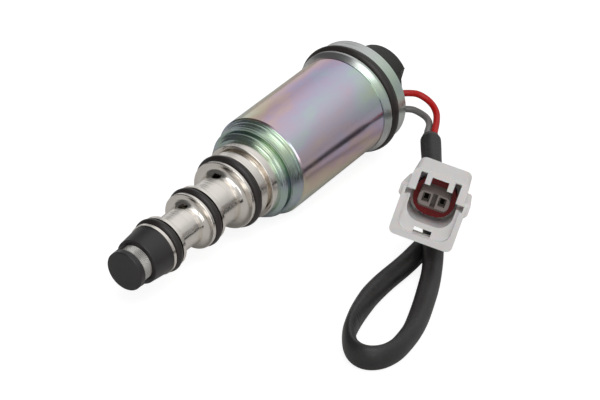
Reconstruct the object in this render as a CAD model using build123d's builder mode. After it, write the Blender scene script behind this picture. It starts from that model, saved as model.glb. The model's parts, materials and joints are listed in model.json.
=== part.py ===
# Control valve of a variable-displacement air-conditioning compressor, with its lead and connector.
# Millimetres. Z is up, the floor is z = 0, and the valve lies along Y with its nose towards -Y.
# It rests on the flange ring and on the front edge of the can, so its nose dips a little.
from build123d import *
from math import asin, atan, cos, degrees, pi, radians, sin, tan
import os

# Solenoid housing
can_radius = 14.0
can_wall = 1.1
can_length = 37.9
can_edge = 0.35
can_socket_depth = 1.4
flange_step = 1.1
flange_rear_land = 3.7
flange_front_land = 0.7
flange_chamfer = 1.6
flange_edge = 0.4
flange_lip = 0.2
spigot_length = 2.2

# Gap left all round where one round piece seats in another
seat_fit = 0.02

# Ring seals: section diameter, groove floor radius and groove width
flange_ring_section = 2.6
flange_groove = 3.2
flange_groove_depth = 1.8
ring_section = 2.4
groove_width = 3.0
front_floor = 5.1
middle_floor = 5.9
rear_floor = 7.9

# Stepped nose of the solenoid
yoke_bevel = 0.7
yoke_bevel_inset = 0.4
yoke_shoulder_inset = 0.7
yoke_cone = 1.8
yoke_ring_inset = 1.3
yoke_ring = 1.5
yoke_groove = 0.8
yoke_groove_inset = 2.3
yoke_lip_inset = 1.9
yoke_lip = 0.4
yoke_nose_inset = 3.0
yoke_nose = 1.2
yoke_depth = 4.2

# Turned valve body, from the collar at the solenoid to the nose
collar_radius = 10.5
collar = 2.5
relief_radius = 8.7
relief = 1.0
rear_land_radius = 9.5
middle_land_radius = 7.8
front_land_radius = 7.0
rear_rim = 2.6
front_rim = 0.9
gland_rim = 1.2
rear_neck_radius = 6.65
front_neck_radius = 5.3
rear_neck = 9.2
front_neck = 10.0
neck_flare = 1.8
rim_edge = 0.25
body_tail_radius = 8.5
body_tail = 7.0
spigot_radius = 4.4
body_spigot = 4.2

# Bores and ports in the body
inlet_radius = 2.6
seat_radius = 1.3
seat_length = 1.6
valve_chamber_radius = 2.5
valve_chamber = 7.0
rod_radius = 1.5
rod_clearance = 0.03
rod_guide = 6.5
suction_chamber_radius = 3.2
front_port_radius = 1.2
rear_port_radius = 1.3
port_offset = 1.5
port_angles = (95.0, 275.0)
seat_margin = 0.5
core_fit = 0.05

# Moving parts of the solenoid
stroke = 0.6
air_gap = 0.8
head_length = 2.6
head_radius = 2.0
head_tip_radius = 1.0
head_taper = 1.0
head_entry = 0.25
core_radius = 4.9
core_head_radius = 6.1
core_head = 4.0
core_rod_clearance = 0.2
tube_wall = 0.5
tube_clearance = 0.06
tube_end_gap = 0.6
tube_cap_gap = 1.4
plunger_share = 0.475
spring_radius = 2.6
spring_wire = 0.5
spring_pitch = 1.1
spring_pocket = 4.0
spring_clearance = 0.25
core_ring_section = 1.2
core_ring_groove = 1.5

# Coil
bobbin_wall = 1.0
bobbin_gap = 0.15
bobbin_edge_gap = 0.2
coil_gap = 0.8
terminal_radius = 0.6
terminal_hole_radius = 0.9
terminal_circle_radius = 8.4
terminal_angles = (36.0, 62.0)
terminal_reach = 2.0

# Strainer
strainer_skirt = 6.4
skirt_front_radius = 6.1
skirt_rear_radius = 6.75
skirt_edge = 0.3
strainer_gap = 3.1
disc_radius = 5.35
disc_edge = 0.25
disc_thickness = 1.7
mesh_radius = 4.9
mesh_wall = 0.35
mesh_seat = 0.8
strut_count = 2
strut_angle = 134.0
strut_width = 2.2
strut_overlap = 0.3

# Rear cap
cap_plate_inset = 3.1
cap_plate = 1.8
cap_fit = 0.05
boss_radius = 8.7
boss_side = 3.4
boss_lift = 3.9
boss_height = 5.4
boss_edge = 0.4
rib_top = 8.0
rib_top_side = 11.0
rib_foot = 3.6
rib_foot_side = 9.7
cap_reach_inset = 0.9
cap_cut_margin = 5.4
exit_block_left = 2.0
exit_block_top = 8.0
exit_block_bottom = -6.2
exit_side = 13.7
exit_angle = 39.0
exit_depth = 3.0
red_exit_lift = 1.3
grey_exit_lift = -3.4
exit_straight = 2.6

# Lead: the two wires, and the points that their routes and the sleeve's route turn at
wire_radius = 0.85
sleeve_radius = 2.7
wire_spread = 0.95
arc_share = 0.45
red_points = [
    (15.1, 55.5, 16.3),
    (18.0, 56.5, 14.7),
    (20.3, 55.5, 12.6),
    (21.7, 53.6, 10.9),
    (22.5, 51.6, 9.4),
]
grey_points = [
    (15.4, 53.6, 12.7),
    (17.6, 53.8, 11.9),
    (19.5, 53.2, 10.7),
    (20.5, 52.1, 9.8),
    (20.8, 50.8, 8.8),
]
sleeve_points = [
    (20.9, 52.0, 9.2),
    (26.1, 44.2, 5.3),
    (32.3, 35.1, 2.7),
    (38.4, 25.9, 3.0),
    (43.8, 17.8, 8.8),
    (48.6, 10.6, 8.8),
    (52.6, 4.6, 3.2),
    (56.4, -2.5, 2.7),
    (61.5, -12.9, 2.7),
    (65.6, -23.6, 2.7),
    (67.3, -30.5, 2.7),
    (67.5, -34.8, 2.7),
    (65.6, -38.4, 2.7),
    (62.0, -40.3, 2.7),
    (58.0, -40.1, 2.7),
    (54.5, -37.6, 2.7),
    (52.0, -31.4, 2.7),
    (50.0, -24.9, 2.7),
    (47.9, -13.4, 2.7),
    (47.2, 0.1, 2.7),
    (46.2, 10.0, 2.7),
    (45.8, 18.5, 2.7),
]
red_end_points = [
    (46.5, 22.4, 2.8),
    (45.9, 25.9, 4.9),
    (45.2, 27.4, 8.4),
    (44.6, 26.6, 12.0),
]
grey_end_points = [
    (44.7, 21.2, 2.8),
    (43.8, 24.5, 4.9),
    (42.6, 26.1, 8.8),
    (41.4, 25.4, 12.9),
]
end_straight = 4.0

# Connector, with x across, y up and z towards its mate, from the middle of its nose
plug_place = (53.7, 2.1, 22.5)
plug_heading = 28.2
plug_pitch = 16.5
plug_roll = 16.6
shroud_width = 16.6
shroud_top = 1.6
shroud_bottom = -11.1
shroud_thickness = 4.0
shroud_corner = 1.6
recess_width = 13.7
recess_top = 0.6
recess_bottom = -9.5
recess_corner = 3.0
recess_depth = 1.4
slot_width = 4.6
slot_height = 1.6
slot_side = -0.1
slot_centre = -8.65
cup_width = 12.0
cup_top = 5.9
cup_bottom = -6.4
cup_corner = 3.8
cup_depth = 11.0
hood_width = 14.5
hood_rear_width = 13.8
hood_rear_shift = 0.4
hood_top = 7.2
hood_bottom = -7.4
hood_corner = 1.6
hood_length = 12.4
block_inner = 5.3
block_bottom = 1.5
block_depth = 3.0
gap_inner = 3.65
gap_top = 6.6
gap_depth = 2.0
prong_inner = 2.2
prong_bottom = 3.75
prong_depth = 3.0
notch_outer = 7.55
notch_top = 1.5
notch_bottom = -0.25
notch_depth = 5.0
block_outer = 6.5
block_top = 6.2
wing_width = 18.2
wing_rear_width = 16.7
wing_rear_shift = 0.5
wing_top = 2.3
wing_bottom = -1.2
wing_rear_bottom = -4.5
wing_setback = 1.0
wing_length = 10.0
wing_corner = 0.7
nose_width = 8.0
nose_front_height = 3.6
nose_height = 6.4
nose_lift = -0.25
nose_corner = 1.3
nose_setback = 2.2
nose_taper = 3.4
seal_width = 10.8
seal_height = 9.7
seal_corner = 4.4
seal_length = 3.0
holder_fit = 0.05
holder_rear = 16.0
contact_pitch = 4.2
cavity_width = 1.9
cavity_height = 2.3
contact_gap = 0.1
contact_wall = 0.3
contact_setback = 1.6
contact_socket = 5.0
key_width = 1.3
key_depth = 3.0
barrel_width = 10.4
barrel_height = 8.6
barrel_length = 8.0
barrel_corner = 2.2
wire_seal_radius = 1.7
wire_seal_groove = 0.3
wire_seal_rib = 0.9

# Heights along the valve axis, from the back face of the flange towards the nose
h_groove = flange_rear_land
h_front_land = h_groove + flange_groove
h_chamfer = h_front_land + flange_front_land
h_flange = h_chamfer + flange_chamfer
h_can_rear = h_flange - can_socket_depth
h_spigot = h_can_rear + spigot_length
h_can_front = h_can_rear + can_length
h_yoke_rear = h_can_front - yoke_depth
h_shoulder = h_can_front + yoke_bevel
h_ring = h_shoulder + yoke_cone
h_ring_end = h_ring + yoke_ring
h_lip = h_ring_end + yoke_groove
h_lip_end = h_lip + yoke_lip
h_yoke_front = h_lip_end + yoke_nose
h_collar_front = h_yoke_front + collar
h_relief_front = h_collar_front + relief
h_rear_groove = h_relief_front + rear_rim
h_rear_land = h_rear_groove + groove_width
h_rear_front = h_rear_land + front_rim
h_middle_back = h_rear_front + rear_neck
h_middle_groove = h_middle_back + gland_rim
h_middle_land = h_middle_groove + groove_width
h_middle_front = h_middle_land + front_rim
h_front_back = h_middle_front + front_neck
h_front_groove = h_front_back + gland_rim
h_front_land_edge = h_front_groove + groove_width
h_body_face = h_front_land_edge + front_rim
h_body_tip = h_body_face + body_spigot
h_skirt_front = h_body_face + strainer_skirt
h_disc_rear = h_skirt_front + strainer_gap
h_tip = h_disc_rear + disc_thickness

# Heights of the inner parts; the plunger and the core share what the tube leaves between cap and body
h_tail = h_yoke_front - body_tail
h_core_front = h_tail + core_head
h_tube_end = cap_plate + tube_cap_gap
h_tube_rear = h_tube_end + tube_wall
h_plunger_rear = h_tube_rear + tube_end_gap
h_plunger_front = h_plunger_rear + plunger_share * (h_tail - h_plunger_rear - air_gap)
h_core_rear = h_plunger_front + air_gap
h_front_port = h_middle_front + port_offset
h_seat_rear = h_front_port + front_port_radius + seat_margin
h_seat_front = h_seat_rear + seat_length
h_chamber_rear = h_seat_rear - valve_chamber
h_rear_port = h_rear_front + port_offset
h_guide_rear = h_chamber_rear - rod_guide
h_pocket = h_plunger_front - spring_pocket
h_head_tip = h_seat_rear + head_entry - stroke
h_head_rear = h_head_tip - head_length
tube_inner = core_radius + tube_clearance
tube_outer = tube_inner + tube_wall
hub_radius = tube_outer + bobbin_gap
can_bore = can_radius - can_wall
flange_radius = can_radius + flange_step
flange_ring_floor = flange_radius - flange_groove_depth
cap_plate_radius = flange_radius - cap_plate_inset
cap_reach = flange_radius - cap_reach_inset
core_bore = core_head_radius + core_fit
rod_bore = rod_radius + rod_clearance
bobbin_radius = hub_radius + bobbin_wall
pocket_radius = spring_radius + spring_wire / 2 + spring_clearance

# The dip that lets the flange ring and the can's front edge touch the floor together
flange_ring_radius = flange_ring_floor + flange_ring_section
ring_centre_radius = flange_ring_radius - flange_ring_section / 2
h_flange_ring = h_groove + flange_groove / 2
reach = h_can_front - h_flange_ring
rise = ring_centre_radius - can_radius
span = (reach**2 + rise**2) ** 0.5
dip = degrees(atan(rise / reach) + asin(flange_ring_section / 2 / span))
nose_y = -cos(radians(dip))
nose_z = -sin(radians(dip))

# The datum is the middle of the flange's back face, placed so that the valve is centred on the origin
datum_y = (h_tip - boss_height) / 2 * cos(radians(dip))
datum_z = can_radius * cos(radians(dip)) + h_can_front * sin(radians(dip))
datum = Vector(0, datum_y, datum_z)
to_nose = Vector(0, nose_y, nose_z)
valve_axis = Axis(datum, to_nose)
cross_plane = Plane(datum, x_dir=(1, 0, 0), z_dir=to_nose)
section_plane = Plane(datum, x_dir=to_nose, z_dir=(-1, 0, 0))


def turned(*corners):
    # Half section of a turned piece: (height, radius) corners, with a third value where a corner is rounded
    with BuildSketch(section_plane) as face:
        with BuildLine():
            Polyline(*[corner[:2] for corner in corners], close=True)
        make_face()
        for corner in corners:
            if len(corner) == 3:
                fillet(face.vertices().sort_by_distance(corner[:2])[0], corner[2])
    return face.sketch


def ring_seal(floor, section, height):
    # Section of a ring seal that sits on its groove floor
    with BuildSketch(section_plane) as face:
        with Locations((height, floor + section / 2)):
            Circle(section / 2)
    return face.sketch


def round_foot(width, top, bottom, corner):
    # Outline with a straight top and a rounded foot, centred on x
    with BuildSketch() as face:
        with Locations((0, (top + bottom) / 2)):
            Rectangle(width, top - bottom)
        fillet(face.vertices().group_by(Axis.Y)[0], corner)
    return face.sketch


def run_of(name, points):
    # Straight runs joined by arcs that take nine tenths of the shorter run beside each corner
    runs = [Vector(*b) - Vector(*a) for a, b in zip(points, points[1:])]
    radii = []
    for before, after in zip(runs, runs[1:]):
        half_turn = radians(before.get_angle(after)) / 2
        radii.append(arc_share * min(before.length, after.length) / tan(half_turn))
    path = FilletPolyline(*points, radius=radii)
    print(name, "radii", [round(radius, 1) for radius in radii], "length", round(path.length, 1))
    return path


def cord(name, points, radius):
    # A tube along a route, printed with its volume against its section times its length
    with BuildPart() as tube:
        with BuildLine():
            path = run_of(name, points)
        with BuildSketch(Plane(path @ 0, z_dir=path % 0)):
            Circle(radius)
        sweep()
    print(name, "volume ratio", round(tube.part.volume / (pi * radius**2 * path.length), 4))
    return tube


with BuildPart() as valve_body:
    revolve(
        turned(
            (h_tail, core_bore),
            (h_tail, body_tail_radius),
            (h_yoke_front, body_tail_radius),
            (h_yoke_front, collar_radius),
            (h_collar_front, collar_radius, rim_edge),
            (h_collar_front, relief_radius),
            (h_relief_front, relief_radius),
            (h_relief_front, rear_land_radius, rim_edge),
            (h_rear_groove, rear_land_radius),
            (h_rear_groove, rear_floor),
            (h_rear_land, rear_floor),
            (h_rear_land, rear_land_radius),
            (h_rear_front, rear_land_radius, rim_edge),
            (h_rear_front, rear_neck_radius, neck_flare),
            (h_middle_back, rear_neck_radius, rim_edge),
            (h_middle_back, middle_land_radius, rim_edge),
            (h_middle_groove, middle_land_radius),
            (h_middle_groove, middle_floor),
            (h_middle_land, middle_floor),
            (h_middle_land, middle_land_radius),
            (h_middle_front, middle_land_radius, rim_edge),
            (h_middle_front, front_neck_radius, neck_flare),
            (h_front_back, front_neck_radius, rim_edge),
            (h_front_back, front_land_radius, rim_edge),
            (h_front_groove, front_land_radius),
            (h_front_groove, front_floor),
            (h_front_land_edge, front_floor),
            (h_front_land_edge, front_land_radius),
            (h_body_face, front_land_radius),
            (h_body_face, spigot_radius),
            (h_body_tip, spigot_radius),
            (h_body_tip, inlet_radius),
            (h_seat_front, inlet_radius),
            (h_seat_front, seat_radius),
            (h_seat_rear, seat_radius),
            (h_seat_rear, valve_chamber_radius),
            (h_chamber_rear, valve_chamber_radius),
            (h_chamber_rear, rod_bore),
            (h_guide_rear, rod_bore),
            (h_guide_rear, suction_chamber_radius),
            (h_core_front, suction_chamber_radius),
            (h_core_front, core_bore),
        ),
        axis=valve_axis,
    )
    # Ports from each neck into the chamber behind it, above and below
    for height, port_radius, neck_radius in (
        (h_front_port, front_port_radius, front_neck_radius),
        (h_rear_port, rear_port_radius, rear_neck_radius),
    ):
        for port_angle in port_angles:
            outward = Vector(1, 0, 0).rotate(valve_axis, port_angle)
            with BuildSketch(Plane(datum + to_nose * height, z_dir=outward)):
                Circle(port_radius)
            extrude(amount=neck_radius + rim_edge, mode=Mode.SUBTRACT)

with BuildPart() as o_ring_rear:
    revolve(ring_seal(rear_floor, ring_section, (h_rear_groove + h_rear_land) / 2), axis=valve_axis)

with BuildPart() as o_ring_middle:
    revolve(ring_seal(middle_floor, ring_section, (h_middle_groove + h_middle_land) / 2), axis=valve_axis)

with BuildPart() as o_ring_front:
    revolve(ring_seal(front_floor, ring_section, (h_front_groove + h_front_land_edge) / 2), axis=valve_axis)

with BuildPart() as flange_o_ring:
    revolve(ring_seal(flange_ring_floor, flange_ring_section, h_flange_ring), axis=valve_axis)

# Solenoid housing: the stepped nose, the can and the flanged end that carries the large ring
with BuildPart() as front_yoke:
    revolve(
        turned(
            (h_yoke_rear, hub_radius),
            (h_yoke_rear, can_bore - seat_fit),
            (h_can_front, can_bore - seat_fit),
            (h_can_front, can_radius - yoke_bevel_inset),
            (h_shoulder, can_radius - yoke_shoulder_inset),
            (h_ring, can_radius - yoke_ring_inset),
            (h_ring_end, can_radius - yoke_ring_inset),
            (h_ring_end, can_radius - yoke_groove_inset),
            (h_lip, can_radius - yoke_groove_inset),
            (h_lip, can_radius - yoke_lip_inset),
            (h_lip_end, can_radius - yoke_lip_inset),
            (h_yoke_front, can_radius - yoke_nose_inset),
            (h_yoke_front, body_tail_radius + seat_fit),
            (h_tail, body_tail_radius + seat_fit),
            (h_tail, hub_radius),
        ),
        axis=valve_axis,
    )

with BuildPart() as solenoid_can:
    revolve(
        turned(
            (h_can_rear, can_bore),
            (h_can_rear, can_radius),
            (h_can_front - can_edge, can_radius),
            (h_can_front, can_radius - can_edge),
            (h_can_front, can_bore),
        ),
        axis=valve_axis,
    )

with BuildPart() as rear_flange:
    revolve(
        turned(
            (cap_plate, hub_radius),
            (cap_plate, cap_plate_radius + cap_fit),
            (0, cap_plate_radius + cap_fit),
            (0, flange_radius - flange_edge),
            (flange_edge, flange_radius),
            (h_groove, flange_radius),
            (h_groove, flange_ring_floor),
            (h_front_land, flange_ring_floor),
            (h_front_land, flange_radius),
            (h_chamfer, flange_radius),
            (h_flange, can_radius + flange_lip),
            (h_flange, can_radius + seat_fit),
            (h_can_rear, can_radius + seat_fit),
            (h_can_rear, can_bore - seat_fit),
            (h_spigot, can_bore - seat_fit),
            (h_spigot, hub_radius),
        ),
        axis=valve_axis,
    )
    # Two holes for the pins of the coil
    with BuildSketch(cross_plane):
        for terminal_angle in terminal_angles:
            with PolarLocations(terminal_circle_radius, 1, start_angle=terminal_angle):
                Circle(terminal_hole_radius)
    extrude(amount=h_spigot, mode=Mode.SUBTRACT)

# Magnetic circuit and moving parts
with BuildPart() as fixed_core:
    ring_groove_rear = h_tail + (core_head - core_ring_groove) / 2
    revolve(
        turned(
            (h_core_rear, rod_radius + core_rod_clearance),
            (h_core_rear, core_radius),
            (h_tail, core_radius),
            (h_tail, core_head_radius),
            (ring_groove_rear, core_head_radius),
            (ring_groove_rear, core_bore - core_ring_section),
            (ring_groove_rear + core_ring_groove, core_bore - core_ring_section),
            (ring_groove_rear + core_ring_groove, core_head_radius),
            (h_core_front, core_head_radius),
            (h_core_front, rod_radius + core_rod_clearance),
        ),
        axis=valve_axis,
    )

with BuildPart() as core_seal_ring:
    core_ring_floor = core_bore - core_ring_section
    revolve(ring_seal(core_ring_floor, core_ring_section, h_tail + core_head / 2), axis=valve_axis)

with BuildPart() as guide_tube:
    revolve(
        turned(
            (h_tube_end, 0),
            (h_tube_end, tube_outer),
            (h_tail, tube_outer),
            (h_tail, tube_inner),
            (h_tube_rear, tube_inner),
            (h_tube_rear, 0),
        ),
        axis=valve_axis,
    )

with BuildPart() as plunger:
    revolve(
        turned(
            (h_plunger_rear, 0),
            (h_plunger_rear, core_radius),
            (h_plunger_front, core_radius),
            (h_plunger_front, pocket_radius),
            (h_pocket, pocket_radius),
            (h_pocket, 0),
        ),
        axis=valve_axis,
    )

with BuildPart() as valve_rod:
    revolve(
        turned(
            (h_pocket, 0),
            (h_pocket, rod_radius),
            (h_head_rear, rod_radius),
            (h_head_rear, head_radius),
            (h_head_tip - head_taper, head_radius),
            (h_head_tip, head_tip_radius),
            (h_head_tip, 0),
        ),
        axis=valve_axis,
    )

with BuildPart() as plunger_spring:
    spring_base = datum + to_nose * (h_pocket + spring_wire / 2)
    spring_length = h_core_rear - h_pocket - spring_wire
    with BuildLine():
        coil = Helix(spring_pitch, spring_length, spring_radius, center=spring_base, direction=to_nose)
    with BuildSketch(Plane(coil @ 0, z_dir=coil % 0)):
        Circle(spring_wire / 2)
    sweep(path=coil, is_frenet=True)

# Coil
with BuildPart() as coil_bobbin:
    revolve(
        turned(
            (h_spigot, hub_radius),
            (h_spigot, can_bore - bobbin_edge_gap),
            (h_spigot + bobbin_wall, can_bore - bobbin_edge_gap),
            (h_spigot + bobbin_wall, bobbin_radius),
            (h_yoke_rear - bobbin_wall, bobbin_radius),
            (h_yoke_rear - bobbin_wall, can_bore - bobbin_edge_gap),
            (h_yoke_rear, can_bore - bobbin_edge_gap),
            (h_yoke_rear, hub_radius),
        ),
        axis=valve_axis,
    )

with BuildPart() as coil_winding:
    revolve(
        turned(
            (h_spigot + bobbin_wall, bobbin_radius + seat_fit),
            (h_spigot + bobbin_wall, can_bore - coil_gap),
            (h_yoke_rear - bobbin_wall, can_bore - coil_gap),
            (h_yoke_rear - bobbin_wall, bobbin_radius + seat_fit),
        ),
        axis=valve_axis,
    )

with BuildPart() as coil_terminals:
    with BuildSketch(cross_plane.offset(h_spigot)):
        for terminal_angle in terminal_angles:
            with PolarLocations(terminal_circle_radius, 1, start_angle=terminal_angle):
                Circle(terminal_radius)
    extrude(amount=-h_spigot - terminal_reach)

# Strainer over the inlet
with BuildPart() as strainer_cap:
    revolve(
        turned(
            (h_body_face, spigot_radius + seat_fit),
            (h_body_face, skirt_rear_radius),
            (h_skirt_front, skirt_front_radius, skirt_edge),
            (h_skirt_front, mesh_radius + seat_fit),
            (h_skirt_front - mesh_seat, mesh_radius + seat_fit),
            (h_skirt_front - mesh_seat, spigot_radius + seat_fit),
        ),
        axis=valve_axis,
    )
    revolve(
        turned(
            (h_disc_rear, 0),
            (h_disc_rear, disc_radius),
            (h_tip, disc_radius, disc_edge),
            (h_tip, 0),
        ),
        axis=valve_axis,
    )
    with BuildSketch(cross_plane.offset(h_skirt_front - strut_overlap)):
        with PolarLocations((mesh_radius + disc_radius) / 2, strut_count, start_angle=strut_angle):
            Rectangle(disc_radius - mesh_radius, strut_width)
        Circle(mesh_radius + seat_fit, mode=Mode.SUBTRACT)
    extrude(amount=strainer_gap + 2 * strut_overlap)

with BuildPart() as strainer_mesh:
    revolve(
        turned(
            (h_skirt_front - mesh_seat, mesh_radius - mesh_wall),
            (h_skirt_front - mesh_seat, mesh_radius),
            (h_disc_rear, mesh_radius),
            (h_disc_rear, mesh_radius - mesh_wall),
        ),
        axis=valve_axis,
    )

# Rear cap, with an off-centre boss and an oblique face that the wires leave
exit_slope = tan(radians(exit_angle))
cut_depth = boss_height + cap_cut_margin
exit_normal = cross_plane.x_dir * cos(radians(exit_angle)) - to_nose * sin(radians(exit_angle))
with BuildPart() as rear_cap:
    with BuildSketch(cross_plane):
        with Locations((boss_side, boss_lift)):
            Circle(boss_radius)
    extrude(amount=-boss_height)
    fillet(rear_cap.edges().filter_by(GeomType.CIRCLE).sort_by(Axis.Y)[-1], boss_edge)
    with BuildSketch(cross_plane):
        with Locations(((cap_reach + exit_block_left) / 2, (exit_block_top + exit_block_bottom) / 2)):
            Rectangle(cap_reach - exit_block_left, exit_block_top - exit_block_bottom)
        Circle(cap_reach, mode=Mode.INTERSECT)
    extrude(amount=-boss_height)
    block_roof = datum + cross_plane.y_dir * exit_block_top
    with BuildSketch(Plane(block_roof, x_dir=(1, 0, 0), z_dir=-cross_plane.y_dir)):
        with BuildLine():
            Polyline(
                (exit_side, 0),
                (exit_side - exit_slope * cut_depth, -cut_depth),
                (exit_side + cap_reach, -cut_depth),
                (exit_side + cap_reach, 0),
                close=True,
            )
        make_face()
    extrude(amount=2 * cap_reach, mode=Mode.SUBTRACT)
    # Rib between the boss and the oblique face
    with BuildSketch(cross_plane):
        with BuildLine():
            Polyline(
                (boss_side, rib_top),
                (rib_top_side, rib_top),
                (rib_foot_side, rib_foot),
                (boss_side, rib_foot),
                close=True,
            )
        make_face()
    extrude(amount=-boss_height)
    with BuildSketch(cross_plane):
        Circle(cap_plate_radius)
    extrude(amount=cap_plate)
    with BuildSketch(cross_plane.offset(cap_plate)):
        for terminal_angle in terminal_angles:
            with PolarLocations(terminal_circle_radius, 1, start_angle=terminal_angle):
                Circle(terminal_radius + seat_fit)
    extrude(amount=-cap_plate - terminal_reach, mode=Mode.SUBTRACT)


def exit_point(lift):
    # Point on the oblique face at a height across the valve
    side = exit_side - exit_slope * exit_depth
    return cross_plane.from_local_coords((side, lift, -exit_depth))


def into_sleeve(lift, points):
    # Route of one wire from the cap to just inside the sleeve's end
    start = exit_point(lift)
    return [start, start + exit_normal * exit_straight, *[Vector(*point) for point in points]]


# Wires from the cap into the sleeve, and the sleeve
red_lead = cord("red_lead", into_sleeve(red_exit_lift, red_points), wire_radius)
grey_lead = cord("grey_lead", into_sleeve(grey_exit_lift, grey_points), wire_radius)
sleeve_path = [Vector(*point) for point in sleeve_points]
lead_sleeve = cord("lead_sleeve", sleeve_path, sleeve_radius)

# Connector
heading = radians(plug_heading)
pitch = radians(plug_pitch)
plug_mate = (cos(pitch) * sin(heading), -cos(pitch) * cos(heading), sin(pitch))
plug_across = Vector(cos(heading), sin(heading), 0).rotate(Axis(plug_place, plug_mate), -plug_roll)
plug = Plane(plug_place, x_dir=plug_across, z_dir=plug_mate)
plug_rear = hood_length + barrel_length
pocket_width = nose_width + 2 * holder_fit
pocket_height = nose_height + 2 * holder_fit


def behind(depth):
    # Cross plane of the connector at a depth behind its face
    return plug.offset(-depth)


with BuildPart() as connector_housing:
    with BuildSketch(plug):
        with Locations((0, (hood_top + hood_bottom) / 2)):
            RectangleRounded(hood_width, hood_top - hood_bottom, hood_corner)
    with BuildSketch(behind(hood_length)):
        with Locations((hood_rear_shift, (hood_top + hood_bottom) / 2)):
            RectangleRounded(hood_rear_width, hood_top - hood_bottom, hood_corner)
    loft()
    with BuildSketch(plug):
        add(round_foot(shroud_width, shroud_top, shroud_bottom, shroud_corner))
    extrude(amount=-shroud_thickness)
    with BuildSketch(behind(wing_setback)):
        with Locations((0, (wing_top + wing_bottom) / 2)):
            RectangleRounded(wing_width, wing_top - wing_bottom, wing_corner)
    with BuildSketch(behind(wing_setback + wing_length)):
        with Locations((wing_rear_shift, (wing_top + wing_rear_bottom) / 2)):
            RectangleRounded(wing_rear_width, wing_top - wing_rear_bottom, wing_corner)
    loft()
    with BuildSketch(behind(hood_length)):
        with Locations((0, nose_lift)):
            RectangleRounded(barrel_width, barrel_height, barrel_corner)
    extrude(amount=-barrel_length)
    # Recessed shelf inside the rim, its slot, and the cup for the mate
    with BuildSketch(plug):
        add(round_foot(recess_width, recess_top, recess_bottom, recess_corner))
    extrude(amount=-recess_depth, mode=Mode.SUBTRACT)
    with BuildSketch(plug):
        with Locations((slot_side, slot_centre)):
            Rectangle(slot_width, slot_height)
    extrude(amount=-shroud_thickness, mode=Mode.SUBTRACT)
    with BuildSketch(plug):
        add(round_foot(cup_width, cup_top, cup_bottom, cup_corner))
    extrude(amount=-cup_depth, mode=Mode.SUBTRACT)
    # Shoulder blocks and latch prongs in the mouth of the hood, with a gap between them
    with BuildSketch(plug):
        for hand in (-1, 1):
            with Locations((hand * (block_inner + block_outer) / 2, (block_top + block_bottom) / 2)):
                Rectangle(block_outer - block_inner, block_top - block_bottom)
    extrude(amount=-block_depth)
    with BuildSketch(plug):
        for hand in (-1, 1):
            with Locations((hand * (prong_inner + gap_inner) / 2, (cup_top + prong_bottom) / 2)):
                Rectangle(gap_inner - prong_inner, cup_top - prong_bottom)
    extrude(amount=-prong_depth)
    with BuildSketch(plug):
        for hand in (-1, 1):
            with Locations((hand * (gap_inner + block_inner) / 2, (gap_top + prong_bottom) / 2)):
                Rectangle(block_inner - gap_inner, gap_top - prong_bottom)
    extrude(amount=-gap_depth, mode=Mode.SUBTRACT)
    with BuildSketch(plug):
        for hand in (-1, 1):
            with Locations((hand * (block_inner + notch_outer) / 2, (notch_top + notch_bottom) / 2)):
                Rectangle(notch_outer - block_inner, notch_top - notch_bottom)
    extrude(amount=-notch_depth, mode=Mode.SUBTRACT)
    # Pocket for the terminal holder and holes for the wire seals
    with BuildSketch(behind(cup_depth)):
        with Locations((0, nose_lift)):
            RectangleRounded(pocket_width, pocket_height, nose_corner + holder_fit)
    extrude(amount=cup_depth - holder_rear, mode=Mode.SUBTRACT)
    with BuildSketch(behind(holder_rear)):
        with GridLocations(contact_pitch, 0, 2, 1):
            Circle(wire_seal_radius + seat_fit)
    extrude(amount=holder_rear - plug_rear, mode=Mode.SUBTRACT)

with BuildPart() as terminal_holder:
    with BuildSketch(behind(nose_setback)):
        with Locations((0, nose_lift)):
            RectangleRounded(nose_width, nose_front_height, nose_corner)
    with BuildSketch(behind(nose_setback + nose_taper)):
        with Locations((0, nose_lift)):
            RectangleRounded(nose_width, nose_height, nose_corner)
    loft()
    with BuildSketch(behind(nose_setback + nose_taper)):
        with Locations((0, nose_lift)):
            RectangleRounded(nose_width, nose_height, nose_corner)
    extrude(amount=nose_setback + nose_taper - holder_rear)
    with BuildSketch(plug):
        with GridLocations(contact_pitch, 0, 2, 1):
            Rectangle(cavity_width, cavity_height)
    extrude(amount=-holder_rear, mode=Mode.SUBTRACT)
    with BuildSketch(plug):
        with Locations((0, nose_lift)):
            Rectangle(key_width, nose_front_height)
    extrude(amount=-nose_setback - key_depth, mode=Mode.SUBTRACT)

with BuildPart() as connector_seal:
    with BuildSketch(behind(nose_setback + nose_taper)):
        with Locations((0, nose_lift)):
            RectangleRounded(seal_width, seal_height, seal_corner)
            RectangleRounded(nose_width, nose_height, nose_corner, mode=Mode.SUBTRACT)
    extrude(amount=-seal_length)

with BuildPart() as contact_terminals:
    with BuildSketch(behind(nose_setback + contact_setback)):
        with GridLocations(contact_pitch, 0, 2, 1):
            Rectangle(cavity_width - 2 * contact_gap, cavity_height - 2 * contact_gap)
    extrude(amount=nose_setback + contact_setback - holder_rear)
    with BuildSketch(behind(nose_setback + contact_setback)):
        with GridLocations(contact_pitch, 0, 2, 1):
            Rectangle(
                cavity_width - 2 * contact_gap - 2 * contact_wall,
                cavity_height - 2 * contact_gap - 2 * contact_wall,
            )
    extrude(amount=-contact_socket, mode=Mode.SUBTRACT)
    with BuildSketch(behind(holder_rear)):
        with GridLocations(contact_pitch, 0, 2, 1):
            Circle(wire_radius)
    extrude(amount=holder_rear - plug_rear)

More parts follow.
